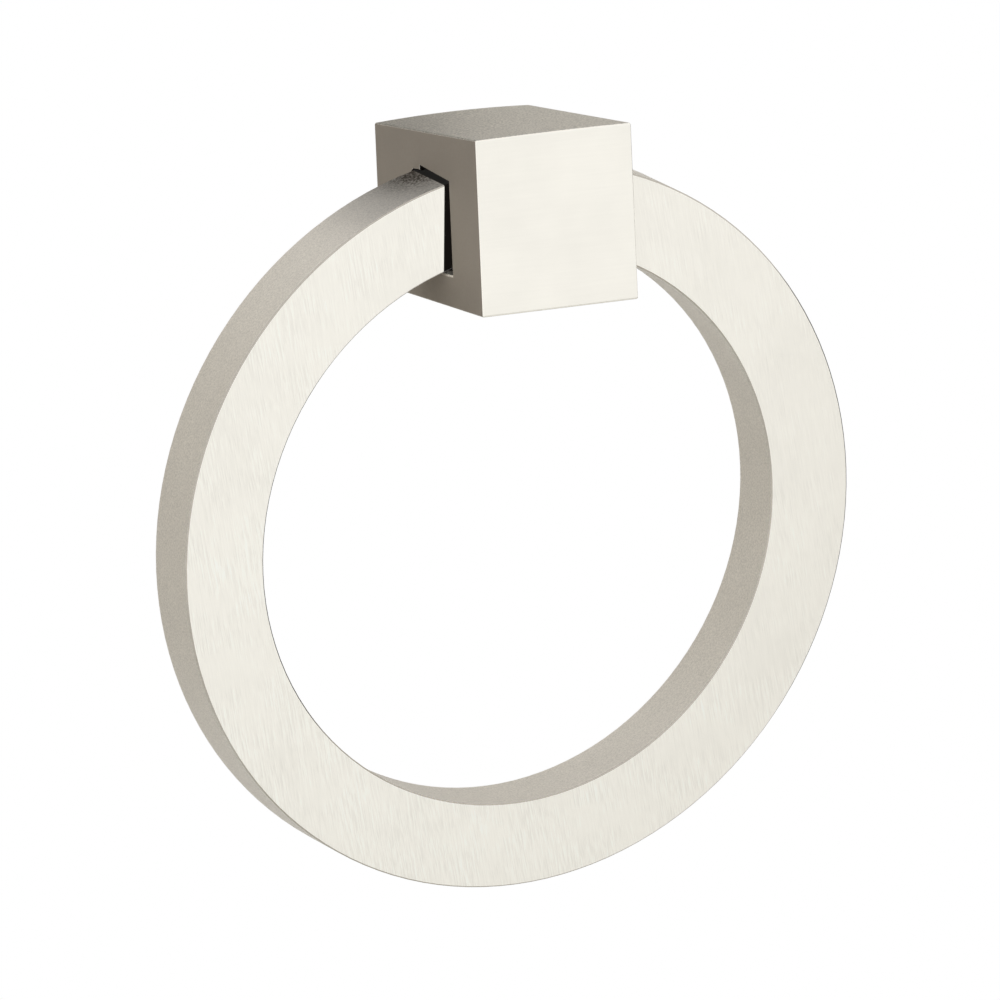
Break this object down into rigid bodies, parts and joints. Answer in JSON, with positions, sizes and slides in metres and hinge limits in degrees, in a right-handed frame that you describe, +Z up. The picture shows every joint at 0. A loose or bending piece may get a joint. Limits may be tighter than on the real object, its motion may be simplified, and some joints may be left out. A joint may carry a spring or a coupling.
{
  "type": "ring pull handle",
  "caption": "Ring pull handle for a drawer or cabinet door: a flat brushed ring hangs in an arched channel through a square block.",
  "frame": {"origin": "mouth of the fixing hole, in the middle of the block's back face, which lies on the drawer front", "axes": "+Y into the drawer along the fixing hole, -Y towards the user, +X to the right, +Z up"},
  "size_m": [0.0888, 0.0266, 0.0935],
  "materials": {
    "block_nickel": "satin nickel plate over brass, fine matte grain on the top and sides",
    "ring_nickel": "satin nickel plate over brass, brushed straight across the front and back"
  },
  "bodies": {
    "block": {"mount_block": "block_nickel"},
    "ring": {"ring": "ring_nickel"}
  },
  "joints": [
    {"name": "ring_swing", "type": "hinge", "parent": "block", "child": "ring", "pos_m": [0, -0.01348, 0.00085], "axis": [-1, 0, 0], "range_deg": [0, 9]}
  ]
}
